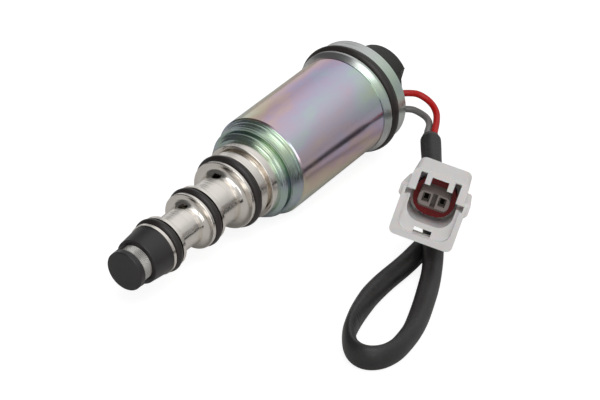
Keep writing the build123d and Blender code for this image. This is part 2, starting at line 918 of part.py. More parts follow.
with BuildPart() as wire_seals:
    with BuildSketch(behind(holder_rear)):
        with GridLocations(contact_pitch, 0, 2, 1):
            Circle(wire_seal_radius)
            Circle(wire_radius + seat_fit, mode=Mode.SUBTRACT)
    extrude(amount=holder_rear - plug_rear)
    # A groove round each plug leaves a sealing rib at either end
    with BuildSketch(behind(holder_rear + wire_seal_rib)):
        with GridLocations(contact_pitch, 0, 2, 1):
            Circle(wire_seal_radius)
            Circle(wire_seal_radius - wire_seal_groove, mode=Mode.SUBTRACT)
    extrude(amount=holder_rear - plug_rear + 2 * wire_seal_rib, mode=Mode.SUBTRACT)


def into_plug(side, points, offset):
    # Route of one wire from the sleeve's other end to its seal in the connector
    sleeve_out = (sleeve_path[-1] - sleeve_path[-2]).normalized()
    start = sleeve_path[-1] + sleeve_out.cross(Vector(0, 0, 1)).normalized() * offset
    end = plug.from_local_coords((side, 0, -plug_rear))
    last = plug.from_local_coords((side, 0, -plug_rear - end_straight))
    return [start, *[Vector(*point) for point in points], last, end]


red_end_route = into_plug(contact_pitch / 2, red_end_points, wire_spread)
grey_end_route = into_plug(-contact_pitch / 2, grey_end_points, -wire_spread)
red_lead_end = cord("red_lead_end", red_end_route, wire_radius)
grey_lead_end = cord("grey_lead_end", grey_end_route, wire_radius)

strainer_cap.part.label = "strainer_cap"
strainer_mesh.part.label = "strainer_mesh"
valve_body.part.label = "valve_body"
o_ring_front.part.label = "o_ring_front"
o_ring_middle.part.label = "o_ring_middle"
o_ring_rear.part.label = "o_ring_rear"
front_yoke.part.label = "front_yoke"
solenoid_can.part.label = "solenoid_can"
rear_flange.part.label = "rear_flange"
flange_o_ring.part.label = "flange_o_ring"
rear_cap.part.label = "rear_cap"
red_lead.part.label = "red_lead"
grey_lead.part.label = "grey_lead"
lead_sleeve.part.label = "lead_sleeve"
connector_housing.part.label = "connector_housing"
connector_seal.part.label = "connector_seal"
terminal_holder.part.label = "terminal_holder"
valve_rod.part.label = "valve_rod"
fixed_core.part.label = "fixed_core"
core_seal_ring.part.label = "core_seal_ring"
guide_tube.part.label = "guide_tube"
plunger.part.label = "plunger"
plunger_spring.part.label = "plunger_spring"
coil_bobbin.part.label = "coil_bobbin"
coil_winding.part.label = "coil_winding"
coil_terminals.part.label = "coil_terminals"
contact_terminals.part.label = "contact_terminals"
wire_seals.part.label = "wire_seals"
red_lead_end.part.label = "red_lead_end"
grey_lead_end.part.label = "grey_lead_end"

os.makedirs("parts", exist_ok=True)
export_step(strainer_cap.part, "parts/strainer_cap.step")
export_step(strainer_mesh.part, "parts/strainer_mesh.step")
export_step(valve_body.part, "parts/valve_body.step")
export_step(o_ring_front.part, "parts/o_ring_front.step")
export_step(o_ring_middle.part, "parts/o_ring_middle.step")
export_step(o_ring_rear.part, "parts/o_ring_rear.step")
export_step(front_yoke.part, "parts/front_yoke.step")
export_step(solenoid_can.part, "parts/solenoid_can.step")
export_step(rear_flange.part, "parts/rear_flange.step")
export_step(flange_o_ring.part, "parts/flange_o_ring.step")
export_step(rear_cap.part, "parts/rear_cap.step")
export_step(red_lead.part, "parts/red_lead.step")
export_step(grey_lead.part, "parts/grey_lead.step")
export_step(lead_sleeve.part, "parts/lead_sleeve.step")
export_step(connector_housing.part, "parts/connector_housing.step")
export_step(connector_seal.part, "parts/connector_seal.step")
export_step(terminal_holder.part, "parts/terminal_holder.step")
export_step(valve_rod.part, "parts/valve_rod.step")
export_step(fixed_core.part, "parts/fixed_core.step")
export_step(core_seal_ring.part, "parts/core_seal_ring.step")
export_step(guide_tube.part, "parts/guide_tube.step")
export_step(plunger.part, "parts/plunger.step")
export_step(plunger_spring.part, "parts/plunger_spring.step")
export_step(coil_bobbin.part, "parts/coil_bobbin.step")
export_step(coil_winding.part, "parts/coil_winding.step")
export_step(coil_terminals.part, "parts/coil_terminals.step")
export_step(contact_terminals.part, "parts/contact_terminals.step")
export_step(wire_seals.part, "parts/wire_seals.step")
export_step(red_lead_end.part, "parts/red_lead_end.step")
export_step(grey_lead_end.part, "parts/grey_lead_end.step")
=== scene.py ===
import json
import math

import bmesh
import bpy
import numpy as np
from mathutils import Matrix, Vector


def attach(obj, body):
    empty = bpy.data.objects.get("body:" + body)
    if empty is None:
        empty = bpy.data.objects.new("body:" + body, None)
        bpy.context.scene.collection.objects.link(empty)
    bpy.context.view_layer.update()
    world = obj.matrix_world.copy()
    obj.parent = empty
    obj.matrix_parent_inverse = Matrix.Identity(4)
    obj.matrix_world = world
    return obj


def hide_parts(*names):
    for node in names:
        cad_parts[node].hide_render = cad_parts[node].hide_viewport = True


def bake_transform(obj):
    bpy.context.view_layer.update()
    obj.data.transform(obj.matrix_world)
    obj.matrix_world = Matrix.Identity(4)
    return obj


# Compressor control valve with its sleeved lead and its connector
# Metres, Z up, floor at z = 0, the valve along Y with its nose towards -Y

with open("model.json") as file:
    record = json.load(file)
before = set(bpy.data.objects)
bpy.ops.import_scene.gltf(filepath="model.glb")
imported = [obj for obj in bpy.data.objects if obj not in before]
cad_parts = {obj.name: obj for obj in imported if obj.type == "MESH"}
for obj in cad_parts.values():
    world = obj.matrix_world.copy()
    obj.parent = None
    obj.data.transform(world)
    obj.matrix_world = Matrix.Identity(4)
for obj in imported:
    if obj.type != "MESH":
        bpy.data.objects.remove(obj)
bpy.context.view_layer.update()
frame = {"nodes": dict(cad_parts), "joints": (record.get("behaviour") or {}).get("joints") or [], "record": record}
nodes = frame["nodes"]
mm = 0.001
print("frame loaded,", len(nodes), "nodes")

# The valve's own axis: heights run from the flange's back face towards the nose
mounts = {mount["name"]: mount for mount in frame["record"]["mounts"]}
landHeight = 7.25 * mm  # middle of the flange land, where its mount stands
toNose = np.array(frame["joints"][0]["axis"])
toNose = toNose / np.linalg.norm(toNose)
datum = np.array(mounts["flange_land"]["pos_m"]) - toNose * landHeight
across = np.array([1.0, 0.0, 0.0])
upward = np.cross(across, -toNose)
vertical = np.array([0, 0, 1])
fixedBody = "housing"


# Shader nodes
def feed(tree, socket, value):
    # a socket takes its value from another socket or holds a fixed one
    if isinstance(value, bpy.types.NodeSocket):
        tree.links.new(value, socket)
    else:
        socket.default_value = value


def calculate(tree, operation, *values):
    # one Math node; each value is a number or a socket
    node = tree.nodes.new("ShaderNodeMath")
    node.operation = operation
    for socket, value in zip(node.inputs, values):
        feed(tree, socket, value)
    return node.outputs[0]


def dotWith(tree, vector, fixed):
    node = tree.nodes.new("ShaderNodeVectorMath")
    node.operation = "DOT_PRODUCT"
    feed(tree, node.inputs[0], vector)
    feed(tree, node.inputs[1], tuple(fixed))
    return node.outputs["Value"]


def mixColours(tree, factor, first, second):
    node = tree.nodes.new("ShaderNodeMix")
    node.data_type = "RGBA"
    feed(tree, node.inputs["Factor"], factor)
    feed(tree, node.inputs["A"], first)
    feed(tree, node.inputs["B"], second)
    return node.outputs["Result"]


def noise(tree, place, scale, detail=2.0, roughness=0.5, dimensions="3D"):
    # noise of a point in space, or of one number where dimensions is 1D
    node = tree.nodes.new("ShaderNodeTexNoise")
    node.noise_dimensions = dimensions
    feed(tree, node.inputs["Detail"], detail)
    feed(tree, node.inputs["Roughness"], roughness)
    feed(tree, node.inputs["Scale"], scale)
    feed(tree, node.inputs["W" if dimensions == "1D" else "Vector"], place)
    return node.outputs["Fac"]


# Camera and studio
view = {
    "azimuth": 35.47,
    "elevation": 31.13,
    "lens": 160.8,
    "sensor": 36.0,
    "nearest": 0.01,
    "farthest": 20.0,
    "place": (0.35688, -0.48044, 0.36674),
}
studio = {
    "floorSize": 3.0,
    "floorAlbedo": (0.64, 0.63, 0.62, 1),
    "floorShade": (0.35, 0.35, 0.35, 1),
    "floorGlow": 0.86,
    # the room's brightness against the sine of the height above the horizon
    "roomTones": ((0.0, 0.42), (0.17, 0.46), (0.5, 0.62), (0.7, 0.82), (1.0, 0.9)),
    # a lit wall and an unlit side: direction, tone, and the cosines where it starts and is full
    "sides": (
        ((-0.70, 0.70, 0.05), 0.76, (0.70, 0.93)),
        ((-0.80, -0.20, 0.56), 0.09, (0.55, 0.76)),
    ),
    "white": (1, 1, 1, 1),
    "keyPower": 1.35,
    "keySize": 0.5,
    "keyPlace": (0.28, -0.24, 0.71),
    "fillPower": 1.5,
    "fillSize": 0.6,
    "fillPlace": (0.75, -0.85, 0.35),
}


def makeCamera():
    # forward = (-sin a cos e, cos a cos e, -sin e), with a the azimuth and e the elevation
    a = math.radians(view["azimuth"])
    e = math.radians(view["elevation"])
    forward = Vector((-math.sin(a) * math.cos(e), math.cos(a) * math.cos(e), -math.sin(e)))
    data = bpy.data.cameras.new("camera")
    data.lens = view["lens"]
    data.sensor_width = view["sensor"]
    data.clip_start = view["nearest"]
    data.clip_end = view["farthest"]
    camera = bpy.data.objects.new("camera", data)
    camera.location = view["place"]
    camera.rotation_mode = "QUATERNION"
    camera.rotation_quaternion = forward.to_track_quat("-Z", "Y")
    bpy.context.scene.collection.objects.link(camera)
    bpy.context.scene.camera = camera


def makeRoom():
    # the parts see tones that change with the height, a lit wall and an unlit side;
    # the camera sees plain white
    world = bpy.data.worlds.new("room")
    bpy.context.scene.world = world
    world.use_nodes = True
    tree = world.node_tree
    toward = tree.nodes.new("ShaderNodeTexCoord").outputs["Generated"]
    parts = tree.nodes.new("ShaderNodeSeparateXYZ")
    ramp = tree.nodes.new("ShaderNodeValToRGB")
    stops = studio["roomTones"]
    elements = ramp.color_ramp.elements
    while len(elements) < len(stops):
        elements.new(0.5)
    for element, (place, tone) in zip(elements, stops):
        element.position = place
        element.color = (tone, tone, tone, 1)
    tree.links.new(toward, parts.inputs[0])
    tree.links.new(parts.outputs["Z"], ramp.inputs[0])
    room = ramp.outputs["Color"]
    for direction, tone, (start, full) in studio["sides"]:
        facing = dotWith(tree, toward, Vector(direction).normalized())
        share = tree.nodes.new("ShaderNodeMapRange")
        share.interpolation_type = "SMOOTHSTEP"
        feed(tree, share.inputs["From Min"], start)
        feed(tree, share.inputs["From Max"], full)
        feed(tree, share.inputs["Value"], facing)
        room = mixColours(tree, share.outputs["Result"], room, (tone, tone, tone, 1))
    seen = tree.nodes.new("ShaderNodeLightPath").outputs["Is Camera Ray"]
    shown = mixColours(tree, seen, room, studio["white"])
    tree.links.new(shown, tree.nodes["Background"].inputs["Color"])


def makeLight(name, place, size, power):
    data = bpy.data.lights.new(name, "AREA")
    data.shape = "SQUARE"
    data.size = size
    data.energy = power
    light = bpy.data.objects.new(name, data)
    light.location = place
    light.rotation_mode = "QUATERNION"
    light.rotation_quaternion = (-Vector(place)).to_track_quat("-Z", "Y")
    bpy.context.scene.collection.objects.link(light)


def makeFloor():
    half = studio["floorSize"] / 2
    corners = [(-half, -half, 0), (half, -half, 0), (half, half, 0), (-half, half, 0)]
    mesh = bpy.data.meshes.new("floor")
    mesh.from_pydata(corners, [], [(0, 1, 2, 3)])
    floor = bpy.data.objects.new("floor", mesh)
    bpy.context.scene.collection.objects.link(floor)
    # pale paper, overexposed where the camera sees it, as in the photograph
    material = bpy.data.materials.new("floorPaper")
    material.use_nodes = True
    tree = material.node_tree
    tree.nodes.remove(tree.nodes["Principled BSDF"])
    paper = tree.nodes.new("ShaderNodeBsdfDiffuse")
    paper.inputs["Color"].default_value = studio["floorAlbedo"]
    shaded = tree.nodes.new("ShaderNodeBsdfDiffuse")
    shaded.inputs["Color"].default_value = studio["floorShade"]
    glow = tree.nodes.new("ShaderNodeEmission")
    glow.inputs["Strength"].default_value = studio["floorGlow"]
    both = tree.nodes.new("ShaderNodeAddShader")
    tree.links.new(shaded.outputs[0], both.inputs[0])
    tree.links.new(glow.outputs[0], both.inputs[1])
    seen = tree.nodes.new("ShaderNodeLightPath")
    choice = tree.nodes.new("ShaderNodeMixShader")
    tree.links.new(seen.outputs["Is Camera Ray"], choice.inputs[0])
    tree.links.new(paper.outputs[0], choice.inputs[1])
    tree.links.new(both.outputs[0], choice.inputs[2])
    tree.links.new(choice.outputs[0], tree.nodes["Material Output"].inputs["Surface"])
    mesh.materials.append(material)


makeCamera()
makeRoom()
makeFloor()
makeLight("key", studio["keyPlace"], studio["keySize"], studio["keyPower"])
makeLight("fill", studio["fillPlace"], studio["fillSize"], studio["fillPower"])
bpy.context.scene.view_settings.view_transform = "Standard"
print("camera and studio made")


# Node groups shared by the finishes
texture = {
    "grainDetail": 3.0,
    "grainRoughness": 0.6,
    # the slow changes, and the fine noise's share in the blotches
    "wideScale": 160.0,
    "fleckShare": 0.35,
    # the fine noise's scale where the finish names none
    "turnedGrain": 900.0,
    "platedGrain": 5000.0,
    "coarseRings": 900.0,
    "coarseShare": 0.5,
    # the film's clouds, drawn out along the valve, and its orders for red, green and blue
    "cloudScale": 110.0,
    "cloudStretch": (1.0, 0.5, 1.0),
    "highlightPower": 4.0,
    "channelOrders": (1.0, 1.22, 1.47),
}


def newGroup(name, inputs, outputs):
    group = bpy.data.node_groups.new(name, "ShaderNodeTree")
    for label, kind, value in inputs:
        socket = group.interface.new_socket(label, in_out="INPUT", socket_type=kind)
        if value is not None:
            socket.default_value = value
    for label, kind in outputs:
        group.interface.new_socket(label, in_out="OUTPUT", socket_type=kind)
    return group, group.nodes.new("NodeGroupInput"), group.nodes.new("NodeGroupOutput")


def variedRoughness(group, source, pattern):
    # base + spread * (pattern - 0.5)
    centred = calculate(group, "SUBTRACT", pattern, 0.5)
    spread, base = source.outputs["Spread"], source.outputs["Base Roughness"]
    return calculate(group, "MULTIPLY_ADD", centred, spread, base)


def makeGrainGroup():
    # height = fine noise at the given scale; roughness follows a wide noise;
    # blotch = wide + fleckShare * (fine - wide)
    group, source, sink = newGroup(
        "grain",
        [
            ("Place", "NodeSocketVector", None),
            ("Scale", "NodeSocketFloat", 4000.0),
            ("Base Roughness", "NodeSocketFloat", 0.5),
            ("Spread", "NodeSocketFloat", 0.1),
        ],
        [
            ("Height", "NodeSocketFloat"),
            ("Roughness", "NodeSocketFloat"),
            ("Blotch", "NodeSocketFloat"),
        ],
    )
    place, scale = source.outputs["Place"], source.outputs["Scale"]
    fine = noise(group, place, scale, texture["grainDetail"], texture["grainRoughness"])
    wide = noise(group, place, texture["wideScale"])
    beyond = calculate(group, "SUBTRACT", fine, wide)
    flecked = calculate(group, "MULTIPLY_ADD", beyond, texture["fleckShare"], wide)
    group.links.new(fine, sink.inputs["Height"])
    group.links.new(variedRoughness(group, source, wide), sink.inputs["Roughness"])
    group.links.new(flecked, sink.inputs["Blotch"])
    return group


def makeTurningGroup():
    # rings cut by a tool: fine + coarseShare * coarse, both noise of the height along the axis
    group, source, sink = newGroup(
        "turningMarks",
        [
            ("Place", "NodeSocketVector", None),
            ("Pitch", "NodeSocketFloat", 9000.0),
            ("Base Roughness", "NodeSocketFloat", 0.14),
            ("Spread", "NodeSocketFloat", 0.1),
        ],
        [("Height", "NodeSocketFloat"), ("Roughness", "NodeSocketFloat")],
    )
    along = dotWith(group, source.outputs["Place"], toNose)
    fine = noise(group, along, source.outputs["Pitch"], detail=1.0, dimensions="1D")
    coarse = noise(group, along, texture["coarseRings"], dimensions="1D")
    both = calculate(group, "MULTIPLY_ADD", coarse, texture["coarseShare"], fine)
    group.links.new(both, sink.inputs["Height"])
    group.links.new(variedRoughness(group, source, coarse), sink.inputs["Roughness"])
    return group


def makeFilmGroup():
    # colour of a thin clear film on metal: each channel is base * (1 - strength * sin^2(pi t k)),
    # with t the film's thickness and k the channel's order;
    # t = thickness + swing * cos(angle round the axis - turn) + slope * height
    #     + wander * (cloud - 0.5), with noise as the cloud;
    # the strength is less by the highlight wash share times cos^4(angle - turn): painted highlight, a paler colour
    # on the side where the key light is reflected, and a deeper one there where that share is negative
    group, source, sink = newGroup(
        "platingFilm",
        [
            ("Place", "NodeSocketVector", None),
            ("Base", "NodeSocketColor", (0.7, 0.7, 0.7, 1)),
            ("Thickness", "NodeSocketFloat", 1.1),
            ("Swing", "NodeSocketFloat", 0.35),
            ("Turn", "NodeSocketFloat", 1.2),
            ("Slope", "NodeSocketFloat", 0.0),
            ("Wander", "NodeSocketFloat", 0.3),
            ("Strength", "NodeSocketFloat", 0.4),
            ("Fade", "NodeSocketFloat", 0.4),
        ],
        [("Color", "NodeSocketColor")],
    )
    given = source.outputs

    def work(operation, *values):
        return calculate(group, operation, *values)

    up = work("SUBTRACT", dotWith(group, given["Place"], upward), float(datum @ upward))
    side = dotWith(group, given["Place"], across)
    height = work("SUBTRACT", dotWith(group, given["Place"], toNose), float(datum @ toNose))
    turned = work("COSINE", work("SUBTRACT", work("ARCTAN2", up, side), given["Turn"]))
    stretched = group.nodes.new("ShaderNodeVectorMath")
    stretched.operation = "MULTIPLY"
    feed(group, stretched.inputs[0], given["Place"])
    feed(group, stretched.inputs[1], texture["cloudStretch"])
    cloud = noise(
        group, stretched.outputs[0], texture["cloudScale"],
        texture["grainDetail"], texture["grainRoughness"],
    )
    wander = work("MULTIPLY", work("SUBTRACT", cloud, 0.5), given["Wander"])
    drift = work("MULTIPLY_ADD", height, given["Slope"], wander)
    swung = work("MULTIPLY_ADD", turned, given["Swing"], given["Thickness"])
    thickness = work("ADD", swung, drift)
    # painted highlight: the film's colour is paler on the side where the key light is reflected
    litSide = work("POWER", work("MAXIMUM", turned, 0.0), texture["highlightPower"])
    unwashedShare = work("SUBTRACT", 1.0, work("MULTIPLY", litSide, given["Fade"]))
    strength = work("MULTIPLY", unwashedShare, given["Strength"])
    split = group.nodes.new("ShaderNodeSeparateColor")
    join = group.nodes.new("ShaderNodeCombineColor")
    group.links.new(given["Base"], split.inputs[0])
    for channel, order in enumerate(texture["channelOrders"]):
        wave = work("SINE", work("MULTIPLY", thickness, order * math.pi))
        loss = work("MULTIPLY", work("MULTIPLY", wave, wave), strength)
        kept = work("SUBTRACT", 1.0, loss)
        group.links.new(work("MULTIPLY", kept, split.outputs[channel]), join.inputs[channel])
    group.links.new(join.outputs[0], sink.inputs["Color"])
    return group


grainGroup = makeGrainGroup()
turningGroup = makeTurningGroup()
filmGroup = makeFilmGroup()


# Finishes
def newFinish(name, fixed):
    # a material whose fixed values sit on the shader's own sockets
    material = bpy.data.materials.new(name)
    material.use_nodes = True
    tree = material.node_tree
    shader = tree.nodes["Principled BSDF"]
    for label, value in fixed.items():
        shader.inputs[label].default_value = value
    coords = tree.nodes.new("ShaderNodeTexCoord")
    return material, tree, shader, coords.outputs["Object"]


def placeGroup(tree, group, place, values):
    node = tree.nodes.new("ShaderNodeGroup")
    node.node_tree = group
    tree.links.new(place, node.inputs["Place"])
    for label, value in values.items():
        node.inputs[label].default_value = value
    return node.outputs


def gloss(values):
    return {"Base Roughness": values["roughness"], "Spread": values["spread"]}


def addBump(tree, shader, height, values):
    bump = tree.nodes.new("ShaderNodeBump")
    bump.inputs["Strength"].default_value = values["relief"]
    bump.inputs["Distance"].default_value = values["depth"]
    tree.links.new(height, bump.inputs["Height"])
    tree.links.new(bump.outputs["Normal"], shader.inputs["Normal"])


def tintBetween(tree, shader, factor, values):
    tint = mixColours(tree, factor, (*values["dark"], 1), (*values["light"], 1))
    tree.links.new(tint, shader.inputs["Base Color"])


def plainFinish(name, values):
    # moulded or rubber surface: fine grain in the relief, slow changes in tone and gloss
    material, tree, shader, place = newFinish(name, values.get("fixed", {}))
    grain = placeGroup(tree, grainGroup, place, {"Scale": values["scale"], **gloss(values)})
    tintBetween(tree, shader, grain["Blotch"], values)
    tree.links.new(grain["Roughness"], shader.inputs["Roughness"])
    addBump(tree, shader, grain["Height"], values)
    return material


def turnedFinish(name, values):
    # bright metal cut on a lathe: rings across the axis
    material, tree, shader, place = newFinish(name, {"Metallic": 1.0})
    marks = placeGroup(tree, turningGroup, place, {"Pitch": values["pitch"], **gloss(values)})
    grain = placeGroup(tree, grainGroup, place, {"Scale": texture["turnedGrain"]})
    tintBetween(tree, shader, grain["Blotch"], values)
    tree.links.new(marks["Roughness"], shader.inputs["Roughness"])
    addBump(tree, shader, marks["Height"], values)
    return material


def platedFinish(name, values):
    # zinc plating under a clear film that shows soft colours and a painted highlight on its lit side, with turned
    # rings in its relief
    material, tree, shader, place = newFinish(name, {"Metallic": 1.0})
    film = placeGroup(
        tree,
        filmGroup,
        place,
        {
            "Base": (*values["base"], 1),
            "Thickness": values["thickness"],
            "Swing": values["swing"],
            "Turn": math.radians(values["turn"]),
            "Slope": values["slope"],
            "Wander": values["wander"],
            "Strength": values["strength"],
            "Fade": values["highlightWash"],
        },
    )
    grain = placeGroup(tree, grainGroup, place, {"Scale": texture["platedGrain"], **gloss(values)})
    marks = placeGroup(tree, turningGroup, place, {"Pitch": values["pitch"]})
    height = calculate(tree, "MULTIPLY_ADD", marks["Height"], values["rings"], grain["Height"])
    tree.links.new(film["Color"], shader.inputs["Base Color"])
    tree.links.new(grain["Roughness"], shader.inputs["Roughness"])
    addBump(tree, shader, height, values)
    return material


# each film's wash share is painted highlight: its colour is paler on the side its turn points to, where the key
# light is reflected, and deeper there where the share is negative
plated = {
    "can": {
        "base": (0.67, 0.655, 0.65), "thickness": 1.07, "swing": 0.5, "turn": 42.0,
        "slope": -6.5, "wander": 0.9, "strength": 0.34, "highlightWash": 0.45,
        "roughness": 0.19, "spread": 0.1, "pitch": 1200.0, "rings": 0.15,
        "relief": 0.12, "depth": 0.00002,
    },
    "yoke": {
        "base": (0.60, 0.595, 0.585), "thickness": 1.51, "swing": 0.06, "turn": 62.0,
        "slope": 0.0, "wander": 0.75, "strength": 0.25, "highlightWash": 0.0,
        "roughness": 0.24, "spread": 0.1, "pitch": 1500.0, "rings": 30.0,
        "relief": 0.25, "depth": 0.00006,
    },
    "flange": {
        "base": (0.66, 0.655, 0.65), "thickness": 1.48, "swing": 0.05, "turn": 32.0,
        "slope": 0.0, "wander": 0.5, "strength": 0.025, "highlightWash": -7.0,
        "roughness": 0.3, "spread": 0.08, "pitch": 1500.0, "rings": 15.0,
        "relief": 0.2, "depth": 0.00004,
    },
}
bright = {
    "body": {
        "dark": (0.79, 0.745, 0.685), "light": (0.90, 0.865, 0.815), "pitch": 2500.0,
        "roughness": 0.16, "spread": 0.14, "relief": 0.8, "depth": 0.00006,
    },
    "steel": {
        "dark": (0.55, 0.55, 0.55), "light": (0.66, 0.66, 0.65), "pitch": 7000.0,
        "roughness": 0.25, "spread": 0.1, "relief": 0.2, "depth": 0.00001,
    },
}
plain = {
    "blackRubber": {
        "dark": (0.014, 0.011, 0.010), "light": (0.032, 0.026, 0.024), "scale": 3000.0,
        "roughness": 0.4, "spread": 0.2, "relief": 0.35, "depth": 0.00004,
    },
    "blackMoulding": {
        "dark": (0.012, 0.011, 0.012), "light": (0.032, 0.029, 0.030), "scale": 2500.0,
        "roughness": 0.35, "spread": 0.16, "relief": 0.5, "depth": 0.00004,
    },
    "capMoulding": {
        "dark": (0.005, 0.005, 0.004), "light": (0.020, 0.019, 0.017), "scale": 1300.0,
        "roughness": 0.44, "spread": 0.2, "relief": 0.9, "depth": 0.00014,
    },
    "lightMoulding": {
        "dark": (0.71, 0.69, 0.68), "light": (0.82, 0.80, 0.79), "scale": 5200.0,
        "roughness": 0.42, "spread": 0.12, "relief": 0.12, "depth": 0.00003,
        "fixed": {"Subsurface Weight": 0.25, "Subsurface Scale": 0.001},
    },
    "greyMoulding": {
        "dark": (0.17, 0.140, 0.128), "light": (0.27, 0.228, 0.210), "scale": 5200.0,
        "roughness": 0.45, "spread": 0.1, "relief": 0.15, "depth": 0.00003,
    },
    "redRubber": {
        "dark": (0.08, 0.001, 0.002), "light": (0.25, 0.003, 0.004), "scale": 3000.0,
        "roughness": 0.45, "spread": 0.15, "relief": 0.2, "depth": 0.00003,
        "fixed": {"Specular IOR Level": 0.25},
    },
    "redInsulation": {
        "dark": (0.40, 0.004, 0.004), "light": (0.58, 0.008, 0.007), "scale": 2500.0,
        "roughness": 0.36, "spread": 0.1, "relief": 0.08, "depth": 0.00003,
        "fixed": {"Specular IOR Level": 0.35},
    },
    "greyInsulation": {
        "dark": (0.15, 0.148, 0.145), "light": (0.20, 0.197, 0.193), "scale": 2500.0,
        "roughness": 0.36, "spread": 0.1, "relief": 0.08, "depth": 0.00003,
    },
    "sleeve": {
        "dark": (0.008, 0.008, 0.008), "light": (0.033, 0.031, 0.031), "scale": 1400.0,
        "roughness": 0.44, "spread": 0.2, "relief": 0.9, "depth": 0.00010,
    },
    "naturalMoulding": {
        "dark": (0.62, 0.58, 0.48), "light": (0.70, 0.66, 0.56), "scale": 4000.0,
        "roughness": 0.45, "spread": 0.1, "relief": 0.15, "depth": 0.00003,
    },
    "copper": {
        "dark": (0.55, 0.20, 0.08), "light": (0.72, 0.30, 0.13), "scale": 2500.0,
        "roughness": 0.3, "spread": 0.1, "relief": 0.3, "depth": 0.00004,
        "fixed": {"Metallic": 1.0},
    },
    "tinned": {
        "dark": (0.62, 0.57, 0.42), "light": (0.75, 0.70, 0.55), "scale": 4000.0,
        "roughness": 0.3, "spread": 0.1, "relief": 0.15, "depth": 0.00002,
        "fixed": {"Metallic": 1.0},
    },
    # painted shade: the tinned contacts are coloured dark for the shade of the cavities they sit in
    "shadedContact": {
        "dark": (0.05, 0.045, 0.04), "light": (0.13, 0.115, 0.10), "scale": 2500.0,
        "roughness": 0.4, "spread": 0.1, "relief": 0.3, "depth": 0.00003,
        "fixed": {"Metallic": 1.0},
    },
    "meshWire": {
        "dark": (0.66, 0.645, 0.61), "light": (0.80, 0.785, 0.75), "scale": 4000.0,
        "roughness": 0.32, "spread": 0.1, "relief": 0.1, "depth": 0.00002,
        "fixed": {"Metallic": 0.9},
    },
}
finishes = {name: plainFinish(name, values) for name, values in plain.items()}
finishes["body"] = turnedFinish("brightTurned", bright["body"])
finishes["steel"] = turnedFinish("groundSteel", bright["steel"])
for plateName, plateValues in plated.items():
    finishes[plateName] = platedFinish("plated_" + plateName, plateValues)

nodeFinishes = {
    "strainer_cap": "blackMoulding",
    "valve_body": "body",
    "o_ring_front": "blackRubber",
    "o_ring_middle": "blackRubber",
    "o_ring_rear": "blackRubber",
    "flange_o_ring": "blackRubber",
    "front_yoke": "yoke",
    "solenoid_can": "can",
    "rear_flange": "flange",
    "rear_cap": "capMoulding",
    "connector_housing": "lightMoulding",
    "connector_seal": "redRubber",
    "terminal_holder": "greyMoulding",
    "valve_rod": "steel",
    "fixed_core": "steel",
    "core_seal_ring": "blackRubber",
    "guide_tube": "steel",
    "plunger": "steel",
    "coil_bobbin": "naturalMoulding",
    "coil_winding": "copper",
    "coil_terminals": "tinned",
    "contact_terminals": "shadedContact",
    "wire_seals": "redRubber",
}


def dress(piece, finishName):
    piece.data.materials.clear()
    piece.data.materials.append(finishes[finishName])


for nodeName, finishName in nodeFinishes.items():
    dress(nodes[nodeName], finishName)
print("finishes made:", len(finishes))


# Surfaces worked out on grids
sharpAngle = math.radians(40)


def gridMesh(name, grid, closedRows=True):
    # grid[i, j] is a point; each row joins up with itself, and the last row joins the first one
    # where the rows are closed
    rows, columns = grid.shape[:2]
    i = np.arange(rows if closedRows else rows - 1)[:, None]
    j = np.arange(columns)[None, :]
    nextI = (i + 1) % rows
    nextJ = (j + 1) % columns
    corners = [i * columns + j, nextI * columns + j, nextI * columns + nextJ, i * columns + nextJ]
    quads = np.stack(corners, -1).reshape(-1, 4)
    mesh = bpy.data.meshes.new(name)
    mesh.from_pydata(grid.reshape(-1, 3).tolist(), [], quads.tolist())
    mesh.update()
    return mesh


def finishPiece(name, mesh, finishName, bodyName=fixedBody):
    # a piece given None as its body is attached to no body
    mesh.polygons.foreach_set("use_smooth", np.ones(len(mesh.polygons), bool))
    mesh.set_sharp_from_angle(angle=sharpAngle)
    work = bmesh.new()
    work.from_mesh(mesh)
    bmesh.ops.recalc_face_normals(work, faces=work.faces)
    work.to_mesh(mesh)
    work.free()
    piece = bpy.data.objects.new(name, mesh)
    bpy.context.scene.collection.objects.link(piece)
    dress(piece, finishName)
    if bodyName:
        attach(piece, bodyName)
    return piece


# Lead, in mm: the route points of the solids, some moved to follow the photograph
sleeve = {
    "radius": 2.7,
    "wall": 0.4,
    "points": [
        (25.4, 44.7, 12.3), (28.9, 39.7, 11.4), (34.0, 32.4, 10.4), (38.4, 24.6, 9.1),
        (43.8, 17.8, 8.8), (48.6, 10.6, 8.8), (52.6, 4.6, 3.2), (56.4, -2.5, 2.7),
        (61.5, -13.9, 2.7), (65.1, -23.2, 2.7), (66.3, -28.8, 2.7), (66.9, -34.1, 2.7),
        (65.7, -38.7, 2.7), (62.4, -41.1, 2.7), (58.1, -40.0, 2.7), (54.5, -35.9, 2.7),
        (52.6, -32.1, 2.7), (49.9, -24.6, 2.7), (47.2, -13.6, 2.7), (47.2, 0.1, 2.7),
        (46.2, 10.0, 2.7), (45.8, 18.5, 2.7),
    ],
    "steps": 30,
    "around": 56,
    # where the turn presses it flat, on edge: shares of its length, then of its radius
    "flatPeak": 0.675,
    "flatBefore": 0.14,
    "flatAfter": 0.075,
    "flatNarrow": 0.36,
    "flatTall": 0.34,
    # both ends close in on the wires, with a thinner wall
    "endLength": 2.2,
    "endNarrow": 0.22,
    "endLow": 0.42,
    "endThin": 0.6,
    # creases on the inside of the turn, at uneven spacings
    "creasePlace": 0.675,
    "creaseSpan": 0.05,
    "creasePitch": 2.2,
    "creaseDepth": 0.08,
    "creaseShift": 2.0,
    "creaseRate": 1.3,
    "creaseToward": (0.8, 0.5),
    # slow changes of the section along the length
    "uneven": 0.05,
    "longWave": 5.3,
    "longStart": 1.0,
    "shortWave": 2.3,
    "shortShare": 0.6,
}
